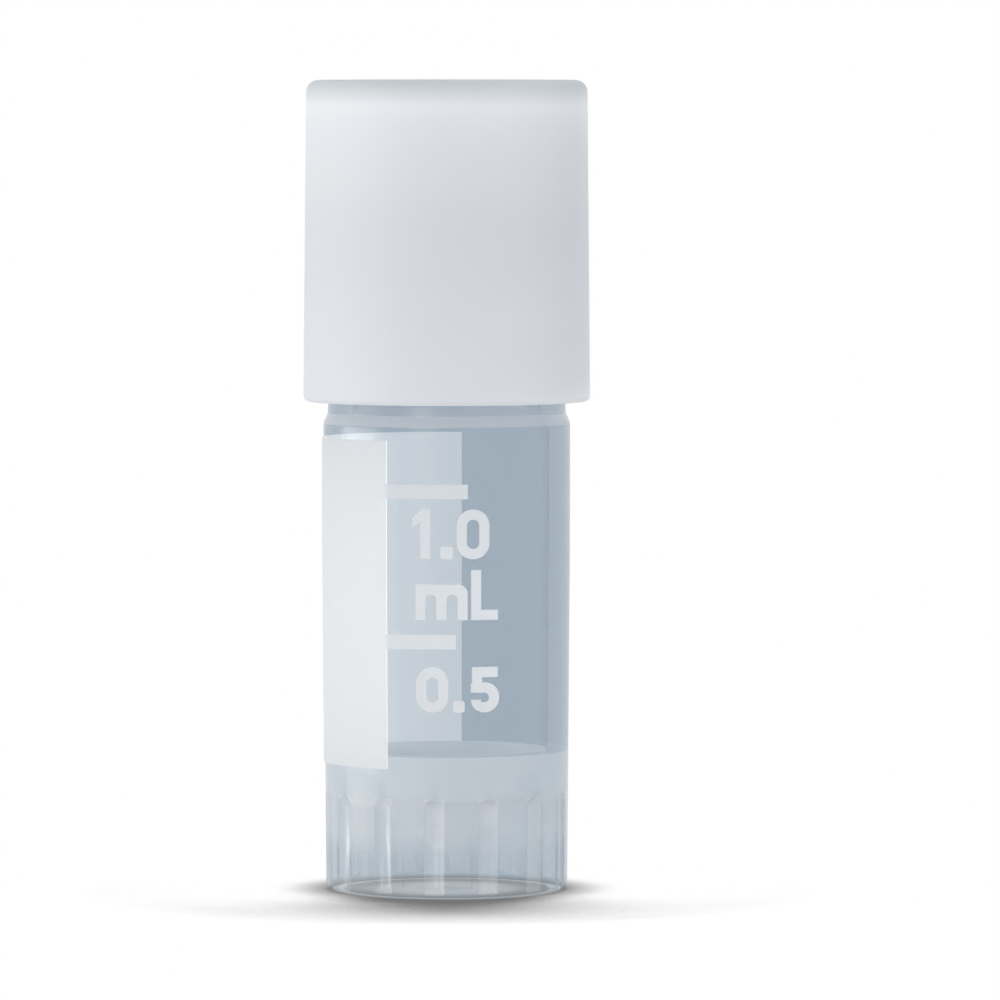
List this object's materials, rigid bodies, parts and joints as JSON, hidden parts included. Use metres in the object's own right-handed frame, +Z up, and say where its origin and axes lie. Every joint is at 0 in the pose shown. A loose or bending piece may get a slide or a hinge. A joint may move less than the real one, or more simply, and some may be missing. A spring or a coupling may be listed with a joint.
{
  "type": "cryovial",
  "caption": "Self-standing cryogenic sample vial with a straight graduated barrel, an external screw thread and a plain frosted cap that unscrews.",
  "frame": {"origin": "centre of the foot, on the surface that the vial stands on", "axes": "+Z up along the vial's axis, its longest extent; -Y is the front, where the graduation is printed; +X is to the right of the front"},
  "size_m": [0.0134, 0.0134, 0.0381],
  "materials": {
    "clear_polypropylene": "translucent, smooth",
    "frosted_cap_plastic": "frosted, translucent white",
    "soft_seal": "matte silicone",
    "white_ink": "matte printed ink"
  },
  "bodies": {
    "vial": {"vial_body": "clear_polypropylene", "white_print": "white_ink"},
    "washer": {"sealing_washer": "soft_seal"},
    "cap": {"screw_cap": "frosted_cap_plastic"}
  },
  "joints": [
    {"name": "cap_lift", "type": "slide", "parent": "vial", "child": "washer", "axis": [0, 0, 1], "range_m": [0, 0.0105]},
    {"name": "cap_turn", "type": "hinge", "parent": "washer", "child": "cap", "pos_m": [0, 0, 0.03], "axis": [0, 0, 1], "range_deg": [0, 1260]}
  ],
  "couplings": [
    {"joint": "cap_turn", "follows": "cap_lift", "rad_per_m": 2094.4}
  ]
}
